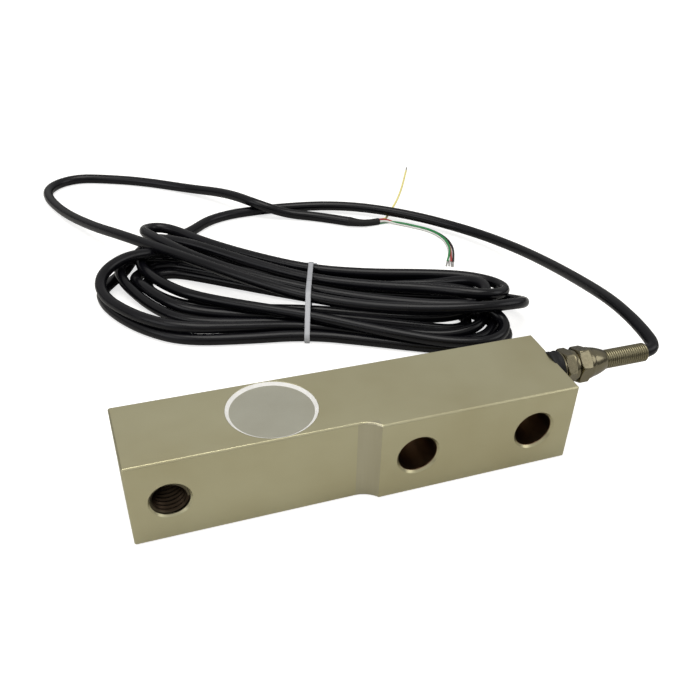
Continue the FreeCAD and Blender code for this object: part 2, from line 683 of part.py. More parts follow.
# (x, y, height in cable radii)
LEAD_LYING = [
    (2.0, 147.8, 2), (-21.8, 175.8, 1.83), (-52.3, 196.5, 1.67), (-87.8, 204.5, 1), (-119.8, 201.7, 1),
    (-138.8, 184.3, 1.08), (-151.8, 165.3, 1.42)]
TAIL_LYING = [
    (-153.8, 149.3, 2.92), (-167.8, 170.3, 3.5), (-179.8, 194.3, 2.25), (-191.8, 224.3, 1.08),
    (-198.8, 248.8, 1), (-193.3, 261.1, 1), (-181.1, 266.8, 1), (-167.6, 263.2, 1), (-147.8, 254.8, 1),
    (-124.8, 238.8, 1.04), (-108.8, 216.8, 3.17), (-96.8, 198.3, 3.29), (-82.8, 195.3, 1.08),
    (-67.5, 188.3, 1), (-54.1, 178.9, 1)]
SLEEVE_LYING = [(-44.9, 175.5, 0.79), (-38.4, 176.5, 0.73)]


def from_mouth(points, unit):
    """Places in the row frame from (x, y, height) entries, the height counted in a unit."""
    return [Vector(MOUTH.x + x, MOUTH.y + y, height * unit) for x, y, height in points]


def ahead_of(route, distance):
    """The point straight ahead of a route's end."""
    heading = route[-1] - route[-2]
    heading.normalize()
    return route[-1] + heading * distance


CABLE_RADIUS = S["cable_diameter"].value / 2
LEAD_ROUTE = [MOUTH] + from_mouth(LEAD_RAISED, MOUTH.z) + from_mouth(LEAD_LYING, CABLE_RADIUS)
TAIL_ROUTE = from_mouth(TAIL_LYING, CABLE_RADIUS)
SLEEVE_ROUTE = [TAIL_ROUTE[-1], ahead_of(TAIL_ROUTE, 4.0)] + from_mouth(SLEEVE_LYING, CABLE_RADIUS)
CORE_RING = (S["core_diameter"].value + S["core_gap"].value) / math.sin(math.radians(36))
CORE_PITCH = S["core_diameter"].value + S["core_spacing"].value
SLEEVE_DIAMETER = CORE_RING + S["core_diameter"].value + 2 * S["sleeve_wall"].value

# The bundle's middle line on the table; each core lies a pitch beside the next.
CORE_LINE = [(-29.6, 175.2), (-22.0, 168.3), (-14.6, 161.7), (-11.2, 152.3), (-11.6, 142.8), (-14.8, 134.3)]
# label: place on the ring in the sleeve (degrees), place beside the middle line, last point
CORES = {
    "core_white": (162.0, -1.5, (-22.3, 128.8)),
    "core_green": (234.0, -0.5, (-20.2, 127.3)),
    "core_red": (90.0, 0.5, (-18.3, 125.9)),
    "core_black": (306.0, 1.5, (-16.4, 124.5)),
}
DRAIN_RING = 18.0
DRAIN_LINE = [(-31.8, 181.9), (-25.0, 191.5), (-17.2, 202.7), (-9.2, 216.3), (-2.6, 228.8), (3.2, 239.9)]


def closed_outline(points):
    """A face whose edge is straight runs joined by tangent arcs."""
    spots = [Vector(MOUTH.x + x, MOUTH.y + y, 0) for x, y in points]
    arcs = [corner_arc(spots[number - 1], spots[number], spots[(number + 1) % len(spots)])
            for number in range(len(spots))]
    edges = []
    for number, (start, crown, end, radius) in enumerate(arcs):
        following = arcs[(number + 1) % len(arcs)]
        edges.append(Part.Arc(start, crown, end).toShape())
        edges.append(Part.LineSegment(end, following[0]).toShape())
    return Part.Face(Part.Wire(edges))


HANK_EDGE_POINTS = [
    (-184.3, 150.3), (-186.8, 120.3), (-173.8, 98.3), (-143.8, 89.3), (-103.8, 79.3), (-75.8, 60.3),
    (-49.8, 42.3), (-19.8, 46.3), (-5.8, 72.3), (-17.8, 99.3), (-55.8, 112.3), (-88.8, 131.3),
    (-117.8, 159.3), (-153.8, 194.8), (-168.8, 176.3)]
HANK_EYE_POINTS = [
    (-157.8, 145.8), (-148.8, 147.8), (-125.8, 119.3), (-109.8, 101.3), (-119.8, 102.3),
    (-146.8, 125.3)]
TIE_PLACE = (-97.8, 106.3)
TIE_TURN = 71.0


def make_hank_and_tie():
    """The tied turns as one solid of their outer shape, and the tie in its groove."""
    height = S["hank_height"].value
    width = S["tie_width"].value
    band = S["tie_thickness"].value
    centre = Vector(MOUTH.x + TIE_PLACE[0], MOUTH.y + TIE_PLACE[1], 0)
    blank = closed_outline(HANK_EDGE_POINTS).extrude(Vector(0, 0, height))
    rims = [edge for edge in blank.Edges if is_near(edge.BoundBox.ZMin, height)]
    blank = blank.makeChamfer(S["hank_edge"].value, rims)
    eye = closed_outline(HANK_EYE_POINTS).extrude(Vector(0, 0, height))

    def frame_part(span, low, high, corner, thick):
        """A rounded rectangle across the hank, thick along it."""
        plate = Part.makeBox(span, thick, high - low, Vector(-span / 2, -thick / 2, low))
        uprights = [edge for edge in plate.Edges if is_near(edge.BoundBox.YLength, thick)
                    and edge.BoundBox.XLength < 0.01]
        plate = plate.makeFillet(corner, uprights)
        plate.Placement = Placement(centre, Rotation(Vector(0, 0, 1), TIE_TURN))
        return plate

    span = S["tie_span"].value
    top = height + S["tie_rise"].value
    corner = S["tie_corner"].value
    outer = frame_part(span, 0.0, top, corner, width)
    inner = frame_part(span - 2 * band, band, top - band, corner - band, width * 2)
    strap = outer.cut(inner)
    head_length = S["tie_head_length"].value
    head_depth = S["tie_head_depth"].value
    head_base = S["tie_head_rise"].value
    head_height = S["tie_head_height"].value
    head = Part.makeBox(head_depth, head_length, head_height,
                        Vector(span / 2, -head_length / 2, head_base))
    slot = Part.makeBox(head_depth, width, band,
                        Vector(span / 2 + band, -width / 2, head_base + head_height / 2))
    head = head.cut(slot)
    head.Placement = Placement(centre, Rotation(Vector(0, 0, 1), TIE_TURN))
    hank = blank.cut([eye, strap, head])
    return [fixed_shape("cable_hank", hank), fixed_shape("tie_strap", strap), fixed_shape("tie_head", head)]


def make_lead_and_tail(hank):
    """The two free stretches, which end on the hank's surface."""
    diameter = S["cable_diameter"].value
    lead = tube_shape("cable_lead", LEAD_ROUTE, diameter, 12).cut(hank.Shape)
    tail = tube_shape("cable_tail", TAIL_ROUTE, diameter, 12).cut(hank.Shape)
    return [fixed_shape("cable_lead", max(lead.Solids, key=lambda solid: solid.Volume)),
            fixed_shape("cable_tail", max(tail.Solids, key=lambda solid: solid.Volume))]


def beside(line, shift):
    """Points of a plan line moved sideways, to the left for a positive shift."""
    moved = []
    for number, (x, y) in enumerate(line):
        before = line[max(number - 1, 0)]
        after = line[min(number + 1, len(line) - 1)]
        run = math.hypot(after[0] - before[0], after[1] - before[1])
        moved.append((x - (after[1] - before[1]) / run * shift, y + (after[0] - before[0]) / run * shift))
    return moved


def make_bared_end():
    """Sleeve, four cores, the yellow wire and the tinned tips."""
    diameter = S["core_diameter"].value
    lie = diameter / 2 + 0.02
    end = SLEEVE_ROUTE[-1]
    heading = end - SLEEVE_ROUTE[-2]
    heading.normalize()
    left = Vector(-heading.y, heading.x, 0)
    left.normalize()
    above = heading.cross(left)
    sleeve = tube_shape("end_sleeve", SLEEVE_ROUTE, SLEEVE_DIAMETER, 12)
    parts = [fixed_shape("end_sleeve", sleeve)]
    lines = {label: (ring, beside(CORE_LINE, place * CORE_PITCH) + [last])
             for label, (ring, place, last) in CORES.items()}
    lines["drain_wire"] = (DRAIN_RING, DRAIN_LINE)
    tips = []
    for label, (ring, line) in lines.items():
        out = CORE_RING / 2
        turned = math.radians(ring)
        start = end + left * (out * math.cos(turned)) + above * (out * math.sin(turned))
        points = [start, start + heading * 3.4] + from_mouth([(x, y, 1.0) for x, y in line], lie)
        parts.append(fixed_shape(label, tube_shape(label, points, diameter, 6)))
        stop = points[-1]
        ahead = stop - points[-2]
        ahead.normalize()
        tip = section_face(stop, ahead, S["tip_diameter"].value, 6)
        tips.append(tip.extrude(ahead * S["tip_length"].value))
    parts.append(fixed_shape("tinned_tips", Part.Compound(tips)))
    return parts


# ---------------------------------------------------------------- the whole cell
def build():
    """Make every sub-part and return them."""
    beam = make_beam_body()
    covers = make_covers()
    gauges = make_gauges()
    boards = make_board_and_resistors()
    jumpers = make_jumpers()
    cores = make_inner_cores()
    cable = make_cable_inner()
    coats = [make_coating("upper", [gauges[0]]), make_coating("lower", [gauges[1], jumpers[0]])]
    gland = [make_gland_seal(), make_gland_body(), make_gland_collar(), make_gland_bush(),
             make_gland_cap_nut(), make_bend_spring()]
    doc.recompute()
    hank = make_hank_and_tie()
    loose = make_lead_and_tail(hank[0]) + make_bared_end()
    doc.recompute()
    return [beam] + covers + gauges + boards + jumpers + cores + [cable] + coats + gland + hank + loose


def check_and_export(parts):
    """Refuse a failed object or a bad shape, then write one STEP file per sub-part."""
    for item in doc.Objects:
        if "Invalid" in item.State or "Error" in item.State:
            raise RuntimeError("%s failed: %s" % (item.Label, item.State))
    for part in parts:
        if part.Shape.isNull() or not part.Shape.isValid():
            raise RuntimeError("%s has a bad shape" % part.Label)
    os.makedirs("parts", exist_ok=True)
    for part in parts:
        part.Shape.exportStep("parts/%s.step" % part.Label)
    print("%d sub-parts written" % len(parts))


check_and_export(build())
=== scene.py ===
import json
import math
import bpy
import bmesh
import numpy as np
from mathutils import Matrix, Vector


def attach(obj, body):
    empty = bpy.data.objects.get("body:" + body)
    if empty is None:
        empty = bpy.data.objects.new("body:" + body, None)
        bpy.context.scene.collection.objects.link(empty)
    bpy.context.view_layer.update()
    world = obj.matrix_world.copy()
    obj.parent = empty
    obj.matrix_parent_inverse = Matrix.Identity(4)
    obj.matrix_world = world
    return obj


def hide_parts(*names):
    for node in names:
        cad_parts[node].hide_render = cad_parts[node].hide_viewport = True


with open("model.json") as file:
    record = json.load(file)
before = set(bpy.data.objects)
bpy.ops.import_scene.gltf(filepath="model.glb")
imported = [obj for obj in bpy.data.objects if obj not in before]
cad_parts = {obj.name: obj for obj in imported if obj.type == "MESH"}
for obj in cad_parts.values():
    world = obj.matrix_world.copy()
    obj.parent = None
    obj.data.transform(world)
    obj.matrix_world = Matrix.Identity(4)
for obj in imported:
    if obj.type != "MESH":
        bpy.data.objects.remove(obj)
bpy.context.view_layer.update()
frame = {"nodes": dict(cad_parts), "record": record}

NODES = frame["nodes"]
MM = 0.001

# Places that several sections share, in millimetres.  A bore along Y is given by its X and Z.
MOUNTING_BORES = ((16.9, 15.4), (60.0, 15.4))
LOAD_THREAD = (-62.6, 15.4)
GLAND_AXIS_Y = 1.7
GLAND_AXIS_Z = 25.3
CORD_RADIUS = 2.4

# ------------------------------------------------------------------ camera
CAMERA_PLACE = (-76.6, -203.2, 192.8)
camera_data = bpy.data.cameras.new("camera")
camera = bpy.data.objects.new("camera", camera_data)
bpy.context.scene.collection.objects.link(camera)
camera_data.sensor_width = 36.0
camera_data.lens = 42.94
camera_data.shift_x = -0.0643
camera_data.shift_y = 0.1146
camera_data.clip_start = 0.01
camera_data.clip_end = 20.0
ahead = Vector((0.32129, 0.70941, -0.62731)).normalized()
right = Vector((0.92806, -0.36762, 0.05960)).normalized()
above = right.cross(ahead).normalized()
turn = Matrix((right, above, -ahead)).transposed().to_4x4()
camera.matrix_world = Matrix.Translation(Vector(CAMERA_PLACE) * MM) @ turn
bpy.context.scene.camera = camera


# ------------------------------------------------------------------ materials
def srgb(red, green, blue):
    """A colour written as 0-255 sRGB, as linear RGBA."""
    out = []
    for value in (red, green, blue):
        c = value / 255
        out.append(c / 12.92 if c <= 0.04045 else ((c + 0.055) / 1.055) ** 2.4)
    return (*out, 1.0)


class Shader:
    """A Principled material built up with a few noise layers."""

    def __init__(self, name, colour, roughness, metallic=0.0):
        self.material = bpy.data.materials.new(name)
        self.material.use_nodes = True
        self.tree = self.material.node_tree
        self.nodes = self.tree.nodes
        self.bsdf = self.nodes["Principled BSDF"]
        self.bsdf.inputs["Base Color"].default_value = colour
        self.bsdf.inputs["Roughness"].default_value = roughness
        self.bsdf.inputs["Metallic"].default_value = metallic
        self.coordinates = self.nodes.new("ShaderNodeTexCoord").outputs["Object"]
        self.normal = None

    def link(self, source, target):
        """Join two sockets."""
        self.tree.links.new(source, target)

    def mapped(self, scale):
        """Object coordinates scaled for each axis, so that noise can be stretched."""
        node = self.nodes.new("ShaderNodeMapping")
        node.inputs["Scale"].default_value = scale
        self.link(self.coordinates, node.inputs["Vector"])
        return node.outputs["Vector"]

    def noise(self, scale, stretch=(1.0, 1.0, 1.0), detail=4.0, roughness=0.55):
        """Noise in object space."""
        node = self.nodes.new("ShaderNodeTexNoise")
        node.inputs["Scale"].default_value = scale
        node.inputs["Detail"].default_value = detail
        node.inputs["Roughness"].default_value = roughness
        self.link(self.mapped(stretch), node.inputs["Vector"])
        return node.outputs["Fac"]

    def ramp(self, factor, low, high, first, last):
        """A value ramp between two factors."""
        node = self.nodes.new("ShaderNodeMapRange")
        node.inputs["From Min"].default_value = low
        node.inputs["From Max"].default_value = high
        node.inputs["To Min"].default_value = first
        node.inputs["To Max"].default_value = last
        self.link(factor, node.inputs["Value"])
        return node.outputs["Result"]

    def reckon(self, operation, first, second=0.0):
        """A maths node with one or two values."""
        node = self.nodes.new("ShaderNodeMath")
        node.operation = operation
        for socket, value in zip(node.inputs, (first, second)):
            if isinstance(value, (int, float)):
                socket.default_value = value
            else:
                self.link(value, socket)
        return node.outputs["Value"]

    def axes(self):
        """The three object coordinates, each on its own."""
        node = self.nodes.new("ShaderNodeSeparateXYZ")
        self.link(self.coordinates, node.inputs["Vector"])
        return node.outputs

    def within(self, value, low, high):
        """One between two bounds, and nothing outside them."""
        above_low = self.reckon("GREATER_THAN", value, low)
        return self.reckon("MULTIPLY", above_low, self.reckon("LESS_THAN", value, high))

    def inside_bore(self, centre, radius):
        """One on the walls of a bore along Y, whose X and Z are in millimetres."""
        axes = self.axes()
        across = self.reckon("POWER", self.reckon("SUBTRACT", axes["X"], centre[0] * MM), 2.0)
        up = self.reckon("POWER", self.reckon("SUBTRACT", axes["Z"], centre[1] * MM), 2.0)
        return self.reckon("LESS_THAN", self.reckon("ADD", across, up), radius * radius)

    def mix(self, factor, first, second):
        """Blend two colours."""
        node = self.nodes.new("ShaderNodeMix")
        node.data_type = "RGBA"
        for socket, value in ((node.inputs[6], first), (node.inputs[7], second)):
            if isinstance(value, tuple):
                socket.default_value = value
            else:
                self.link(value, socket)
        self.link(factor, node.inputs[0])
        return node.outputs[2]

    def colour(self, source):
        """Set the surface's colour."""
        self.link(source, self.bsdf.inputs["Base Color"])

    def roughness(self, source):
        """Set how rough the surface is."""
        self.link(source, self.bsdf.inputs["Roughness"])

    def bump(self, source, strength, distance):
        """Raise and lower the surface a little, on top of any bumps before."""
        node = self.nodes.new("ShaderNodeBump")
        node.inputs["Strength"].default_value = strength
        node.inputs["Distance"].default_value = distance
        self.link(source, node.inputs["Height"])
        if self.normal is not None:
            self.link(self.normal, node.inputs["Normal"])
        self.normal = node.outputs["Normal"]
        self.link(self.normal, self.bsdf.inputs["Normal"])

    def soft_edges(self, radius):
        """Round the look of sharp edges."""
        node = self.nodes.new("ShaderNodeBevel")
        node.samples = 4
        node.inputs["Radius"].default_value = radius
        if self.normal is not None:
            self.link(self.normal, node.inputs["Normal"])
        self.normal = node.outputs["Normal"]
        self.link(self.normal, self.bsdf.inputs["Normal"])


def plated_steel(name, light, dark, rough_low, rough_high, grain=(1.0, 1.0, 1.0)):
    """Satin plating: faint clouds of tone and fine grain, which can be stretched."""
    s = Shader(name, light, rough_low, 1.0)
    clouds = s.noise(26.0, detail=3.0)
    fine = s.noise(900.0, grain, 2.0, 0.5)
    s.tone = s.mix(s.ramp(clouds, 0.35, 0.7, 0.0, 1.0), light, dark)
    s.colour(s.tone)
    s.roughness(s.ramp(fine, 0.3, 0.7, rough_low, rough_high))
    s.bump(fine, 0.04, 0.00001)
    return s


NICKEL = srgb(196, 191, 158)
NICKEL_DARK = srgb(186, 179, 144)
# Painted shade for the walls inside the mounting bores and the load thread.
BORE_PAINTED_SHADE = srgb(128, 107, 85)
THREAD_PAINTED_SHADE = srgb(58, 48, 38)
# The milled fillet's greyer tone is a painted reflection. Its light and dark milling lines are its own.
MILLED_REFLECTION_LIGHT = srgb(190, 185, 160)
MILLED_REFLECTION_DARK = srgb(178, 172, 146)
# Places on the beam in metres: the milled run-out of the step, the reach of the painted shade in the bores and the
# thread from their middles, and the depth over which the thread's painted shade deepens.
MILLED_ALONG = (-0.0034, 0.0035)
MILLED_OUTSIDE_Y = -0.0137
BORE_SHADE_REACH = 0.00688
THREAD_SHADE_REACH = 0.0061
THREAD_SHADE_DEEPENS = (-0.0168, -0.012)


def beam_steel():
    """The beam's plating, with milling lines and a painted reflection on its milled corner, and painted shade
    inside its bores and thread.
    """
    s = plated_steel("nickel_plated_steel", NICKEL, NICKEL_DARK, 0.31, 0.35, (0.25, 1.0, 1.0))
    axes = s.axes()
    on_face = s.reckon("LESS_THAN", axes["Y"], MILLED_OUTSIDE_Y)
    milled_reflection_band = s.reckon("MULTIPLY", s.within(axes["X"], *MILLED_ALONG), on_face)
    lines = s.noise(520.0, (1.0, 0.05, 0.05), 2.0)
    # Painted reflection on the milled fillet, striped with milling lines.
    tone = s.mix(milled_reflection_band, s.tone, s.mix(lines, MILLED_REFLECTION_LIGHT, MILLED_REFLECTION_DARK))
    # Painted shade on the walls of the bores and the thread, darker deeper into the thread.
    bore_shade_mask = s.reckon("ADD", *(s.inside_bore(bore, BORE_SHADE_REACH) for bore in MOUNTING_BORES))
    tone = s.mix(bore_shade_mask, tone, BORE_PAINTED_SHADE)
    thread_shade_depth = s.ramp(axes["Y"], *THREAD_SHADE_DEEPENS, 0.25, 1.0)
    thread_shade_mask = s.reckon("MULTIPLY", s.inside_bore(LOAD_THREAD, THREAD_SHADE_REACH), thread_shade_depth)
    s.colour(s.mix(thread_shade_mask, tone, THREAD_PAINTED_SHADE))
    s.soft_edges(0.00035)
    return s


steel = beam_steel()

cover = Shader("cover_disc_steel", srgb(200, 199, 188), 0.4, 1.0)
cover_grain = cover.noise(1400.0, detail=2.0)
cover_clouds = cover.ramp(cover.noise(60.0, detail=3.0), 0.35, 0.7, 0.0, 1.0)
cover.colour(cover.mix(cover_clouds, srgb(194, 193, 178), srgb(186, 184, 168)))
cover.roughness(cover.ramp(cover_grain, 0.3, 0.7, 0.36, 0.46))
cover.bump(cover_grain, 0.05, 0.00001)

sealant = Shader("pale_sealant", srgb(226, 225, 222), 0.55)
sealant_lumps = sealant.noise(320.0, detail=3.0)
sealant.colour(sealant.mix(sealant_lumps, srgb(214, 213, 209), srgb(238, 237, 234)))
sealant.bump(sealant_lumps, 0.35, 0.0003)

gland_plating = plated_steel("nickel_plated_brass", srgb(136, 130, 108), srgb(114, 107, 86), 0.14, 0.24)
spring_plating = plated_steel("nickel_plated_spring", srgb(144, 138, 113), srgb(116, 109, 85), 0.2, 0.32)


def dark_polymer(name, colour, paler, roughness, scale, bump):
    """Black rubber or jacket with fine pores, scuffs and a changing sheen."""
    s = Shader(name, colour, roughness)
    pores = s.noise(scale, detail=5.0, roughness=0.65)
    scuffs = s.noise(38.0)
    s.colour(s.mix(s.ramp(scuffs, 0.45, 0.72, 0.0, 0.8), colour, paler))
    s.roughness(s.ramp(scuffs, 0.3, 0.7, roughness - 0.08, roughness + 0.1))
    s.bump(pores, bump, 0.00006)
    s.bsdf.inputs["Specular IOR Level"].default_value = 0.26
    return s


jacket = dark_polymer("black_jacket", srgb(7, 7, 11), srgb(14, 13, 19), 0.24, 1500.0, 0.06)
rubber = dark_polymer("black_rubber", srgb(20, 20, 20), srgb(34, 33, 32), 0.6, 900.0, 0.35)


def core_plastic(name, colour, paler):
    """The glossy insulation of a core."""
    s = Shader(name, colour, 0.32)
    tone = s.noise(260.0, detail=3.0)
    s.colour(s.mix(tone, colour, paler))
    s.roughness(s.ramp(tone, 0.3, 0.7, 0.25, 0.42))
    s.bump(tone, 0.15, 0.00005)
    return s


red = core_plastic("red_insulation", srgb(150, 40, 38), srgb(176, 62, 56))
black = core_plastic("black_insulation", srgb(22, 22, 22), srgb(40, 38, 38))
green = core_plastic("green_insulation", srgb(26, 118, 62), srgb(52, 140, 80))
white = core_plastic("white_insulation", srgb(214, 214, 210), srgb(232, 232, 228))
yellow = core_plastic("yellow_insulation", srgb(228, 214, 120), srgb(238, 228, 150))
tie_plastic = core_plastic("pale_tie_plastic", srgb(158, 160, 165), srgb(182, 184, 189))
film = core_plastic("gauge_film", srgb(186, 126, 58), srgb(204, 150, 82))
board = core_plastic("board_resin", srgb(44, 96, 60), srgb(60, 116, 76))
coating = core_plastic("clear_coating", srgb(170, 172, 166), srgb(190, 190, 184))
tinned = plated_steel("tinned_wire", srgb(206, 204, 200), srgb(168, 166, 162), 0.25, 0.4)

FINISH = {
    "nickel_steel": steel, "pale_sealant": sealant, "gauge_film": film, "board_resin": board,
    "bare_wire": tinned, "red_insulation": red, "black_insulation": black, "green_insulation": green,
    "white_insulation": white, "yellow_insulation": yellow, "black_jacket": jacket, "clear_coating": coating,
    "black_rubber": rubber, "plated_brass": gland_plating, "spring_steel": spring_plating,
    "pale_tie": tie_plastic}


def finish_with(obj, shader):
    """Give every face of an object one material."""
    obj.data.materials.clear()
    obj.data.materials.append(shader.material)


for part in frame["record"]["subparts"]:
    finish_with(NODES[part["node"]], FINISH[part["material_slot"]])
for name in ("upper_cover_disc", "lower_cover_disc"):
    finish_with(NODES[name], cover)


# ------------------------------------------------------------------ building pieces
def place(obj, shader, slot, *nodes):
    """Put a piece in the scene, on the body, in the place of any CAD nodes that are named."""
    bpy.context.scene.collection.objects.link(obj)
    obj.data.materials.append(shader.material)
    if nodes:
        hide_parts(*nodes)
    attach(obj, "root")
    return obj


SHARP_ABOVE = math.radians(35)


def mesh_piece(name, vertices, faces):
    """A smooth mesh object whose sharper edges stay sharp."""
    mesh = bpy.data.meshes.new(name)
    mesh.from_pydata(vertices, [], faces)
    work = bmesh.new()
    work.from_mesh(mesh)
    bmesh.ops.remove_doubles(work, verts=work.verts, dist=1e-7)
    bmesh.ops.recalc_face_normals(work, faces=work.faces)
    work.to_mesh(mesh)
    work.free()
    mesh.shade_smooth()
    mesh.set_sharp_from_angle(angle=SHARP_ABOVE)
    return bpy.data.objects.new(name, mesh)


def around_gland(name, rings, steps):
    """A ring of material about the gland's axis, from a closed section.

    Each entry of rings is (x, reach) in millimetres, where reach is a radius or a function of the angle."""
    vertices = []
    for x, reach in rings:
        for step in range(steps):
            angle = 2 * math.pi * step / steps
            radius = reach(angle) if callable(reach) else reach
            vertices.append((x * MM, (GLAND_AXIS_Y + radius * math.cos(angle)) * MM,
                             (GLAND_AXIS_Z + radius * math.sin(angle)) * MM))
    faces = []
    for ring in range(len(rings)):
        following = (ring + 1) % len(rings)
        for step in range(steps):
            side = (step + 1) % steps
            faces.append((ring * steps + step, ring * steps + side, following * steps + side,
                          following * steps + step))
    return mesh_piece(name, vertices, faces)


def hexagon(flats, turned, reach):
    """The radius of a hexagon by angle, no larger than a round reach."""
    def radius(angle):
        local = (angle - math.radians(turned)) % math.radians(60) - math.radians(30)
        return min(flats / 2 / math.cos(local), reach)
    return radius


def hex_rings(start, end, flats, turned, low):
    """Ring entries for a hexagon whose corners are turned down to a radius at both end faces."""
    corner = flats / math.sqrt(3)
    run = (corner - low) / math.tan(math.radians(60))
    shapes = [(run * part, hexagon(flats, turned, low + (corner - low) * part))
              for part in (0.0, 0.12, 0.25, 0.4, 0.55, 0.7, 0.85, 1.0)]
    return [(start + inward, shape) for inward, shape in shapes] + [
        (end - inward, shape) for inward, shape in reversed(shapes)]


# ------------------------------------------------------------------ gland
gland_body = around_gland("gland_body_turned_hex", [
    (67.0, 2.7), (89.9, 2.7), (89.9, 4.4), (83.05, 4.4), (82.9, 4.55)]
    + hex_rings(79.1, 82.9, 12.0, 48.0, 5.95)[::-1]
    + [(79.1, 5.6), (78.85, 5.55), (78.8, 6.05), (78.68, 6.18), (78.22, 6.2), (78.1, 6.08), (78.1, 3.95),
       (67.0, 3.95)], 180)
place(gland_body, gland_plating, "plated_brass", "gland_body")

gland_collar = around_gland("gland_collar_ring", [
    (82.92, 4.62), (84.88, 4.62), (84.88, 5.45), (84.74, 5.64), (84.5, 5.74), (83.3, 5.75), (83.06, 5.66),
    (82.92, 5.5)], 96)
place(gland_collar, gland_plating, "plated_brass", "gland_collar")

nut_rings = [(84.9, 4.65)] + hex_rings(84.9, 89.4, 12.0, 41.0, 5.9)
nut_rings += [(89.4, 5.62), (89.52, 5.78), (90.75, 5.8), (90.95, 5.68)]
nut_rings += [(90.95 + 6.0 * part, 5.66 - 1.72 * part + 0.22 * math.sin(math.pi * part))
              for part in (0.1, 0.25, 0.4, 0.55, 0.7, 0.85, 0.96)]
nut_rings += [(97.1, 3.86), (97.1, 3.72), (94.7, 3.72), (94.7, 2.75), (90.2, 2.75), (90.2, 4.65)]
gland_nut = around_gland("gland_cap_nut_turned", nut_rings, 180)
place(gland_nut, gland_plating, "plated_brass", "gland_cap_nut")

seal = around_gland("gland_seal_moulded", [
    (74.0, 4.05), (78.05, 4.05), (78.08, 6.2), (77.9, 6.45), (77.5, 6.5), (77.1, 6.3), (76.8, 6.1),
    (76.2, 6.1), (75.9, 6.3), (75.4, 6.5), (74.6, 6.5), (74.2, 6.4), (74.0, 6.2)], 96)
place(seal, rubber, "black_rubber", "gland_seal")


def round_cord(name, points, radius, sides, along, order=3):
    """A NURBS curve with a round section.  The points and the radius are in millimetres."""
    curve = bpy.data.curves.new(name, "CURVE")
    curve.dimensions = "3D"
    spline = curve.splines.new("NURBS")
    spline.points.add(len(points) - 1)
    for point, place_mm in zip(spline.points, points):
        point.co = (*[value * MM for value in place_mm], 1.0)
    spline.order_u = order
    spline.use_endpoint_u = True
    spline.resolution_u = along
    curve.bevel_depth = radius * MM
    curve.bevel_resolution = sides
    curve.use_fill_caps = True
    return bpy.data.objects.new(name, curve)


SPRING_START = 95.15
SPRING_LENGTH = 20.24
SPRING_TURNS = 22
SPRING_RADIUS = 3.2
SPRING_WIRE_RADIUS = 0.44
POINTS_A_TURN = 16


def spring_points():
    """The close turns of the spring's wire."""
    points = []
    total = SPRING_TURNS * POINTS_A_TURN
    for step in range(total + 1):
        angle = 2 * math.pi * step / POINTS_A_TURN
        points.append((SPRING_START + SPRING_LENGTH * step / total,
                       GLAND_AXIS_Y + SPRING_RADIUS * math.cos(angle),
                       GLAND_AXIS_Z + SPRING_RADIUS * math.sin(angle)))
    return points


spring = round_cord("anti_kink_spring_wire", spring_points(), SPRING_WIRE_RADIUS, sides=3, along=2, order=4)
place(spring, spring_plating, "spring_steel", "bend_spring")

# ------------------------------------------------------------------ load thread
THREAD_PITCH = 1.75
THREAD_START = -12.9
THREAD_END = 16.3
THREAD_MARGIN = 0.05
STEPS_A_TURN = 40
# The ridge's section: shares of the pitch along the hole, and radii.
THREAD_SECTION = ((-0.5, 6.02), (-0.06, 5.25), (0.06, 5.25), (0.5, 6.02))


def thread_ridges():
    """The turns of the load thread, inside the hole's wall."""
    total = int((THREAD_END - THREAD_START) / THREAD_PITCH * STEPS_A_TURN)
    vertices, faces = [], []
    for step in range(total + 1):
        angle = 2 * math.pi * step / STEPS_A_TURN
        y = THREAD_START + THREAD_PITCH * step / STEPS_A_TURN
        for shift, radius in THREAD_SECTION:
            depth = max(y + shift * THREAD_PITCH, THREAD_START - THREAD_MARGIN)
            depth = min(depth, THREAD_END + THREAD_MARGIN)
            vertices.append(((LOAD_THREAD[0] + radius * math.cos(angle)) * MM, depth * MM,
                             (LOAD_THREAD[1] + radius * math.sin(angle)) * MM))
    for step in range(total):
        for part in range(3):
            a = step * 4 + part
            faces.append((a, a + 1, a + 5, a + 4))
        faces.append((step * 4, step * 4 + 4, step * 4 + 7, step * 4 + 3))
    return mesh_piece("load_thread_ridges", vertices, faces)


place(thread_ridges(), steel, "nickel_steel")

# ------------------------------------------------------------------ cable
# The route of the cable: its lead from the spring's mouth to the hank, and its tail from the hank to the sleeve.
MOUTH = (115.84, GLAND_AXIS_Y, GLAND_AXIS_Z)
LEAD = [
    MOUTH, (118.9, 1.7, 25.5), (121.2, 4.2, 26.2), (122.2, 11.0, 26.8), (123.2, 22.5, 27.0),
    (124.3, 38.0, 25.9), (126.74, 60.0, 21.2), (129.24, 90.0, 14.3), (127.94, 120.5, 8.2), (117.84, 149.5, 4.8),
    (94.04, 177.5, 4.4), (63.54, 198.2, 4.0), (28.04, 206.2, 2.4), (-3.96, 203.4, 2.4)]
TAIL = [
    (-51.96, 172.0, 12.4), (-63.96, 196.0, 7.4), (-75.96, 226.0, 2.6), (-82.96, 250.5, 2.4), (-77.46, 262.8, 2.4),
    (-65.26, 268.5, 2.4), (-51.76, 264.9, 2.4), (-31.96, 256.5, 2.4), (-8.96, 240.5, 2.5), (7.04, 218.5, 7.6),
    (19.04, 200.0, 7.9), (33.04, 197.0, 2.6), (48.34, 190.0, 2.4), (61.74, 180.6, 2.4)]
HANK_MIDDLE = (18.04, 108.0)
HANK_TURN = math.radians(-19.0)
SHOULDER = 50.0
LAYER = 4.7
